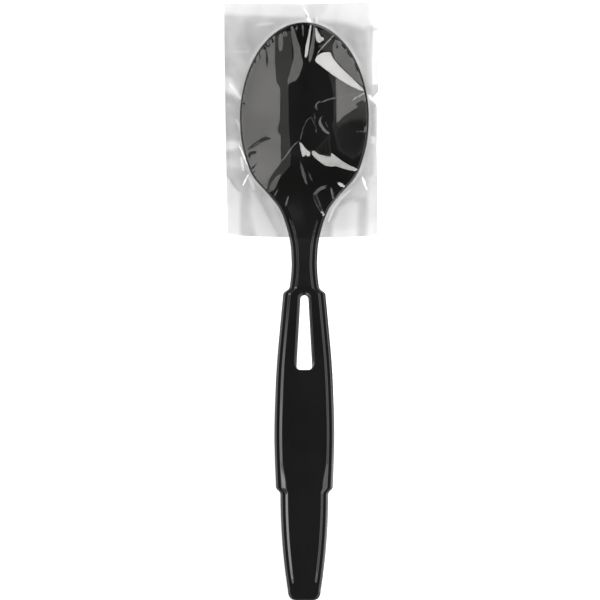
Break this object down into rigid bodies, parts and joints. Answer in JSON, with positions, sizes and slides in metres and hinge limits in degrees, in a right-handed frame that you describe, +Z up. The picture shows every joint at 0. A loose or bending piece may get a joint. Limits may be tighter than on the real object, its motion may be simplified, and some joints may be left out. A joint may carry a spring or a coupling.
{
  "type": "wrapped plastic spoon",
  "caption": "Heavy black plastic spoon with a slotted, stepped tray handle, its bowl in a clear film sleeve that leaves the handle bare.",
  "frame": {"origin": "on the table, under the middle of the whole object's box", "axes": "+X across the spoon, +Y along it towards the bowl's tip, +Z up out of the open side of the bowl"},
  "size_m": [0.0406, 0.157, 0.015],
  "materials": {
    "black_plastic": "moulded gloss, jet black",
    "clear_film": "thin clear film, crinkled and glossy"
  },
  "bodies": {
    "root": {"spoon": "black_plastic", "film_wrap": "clear_film"}
  },
  "joints": []
}
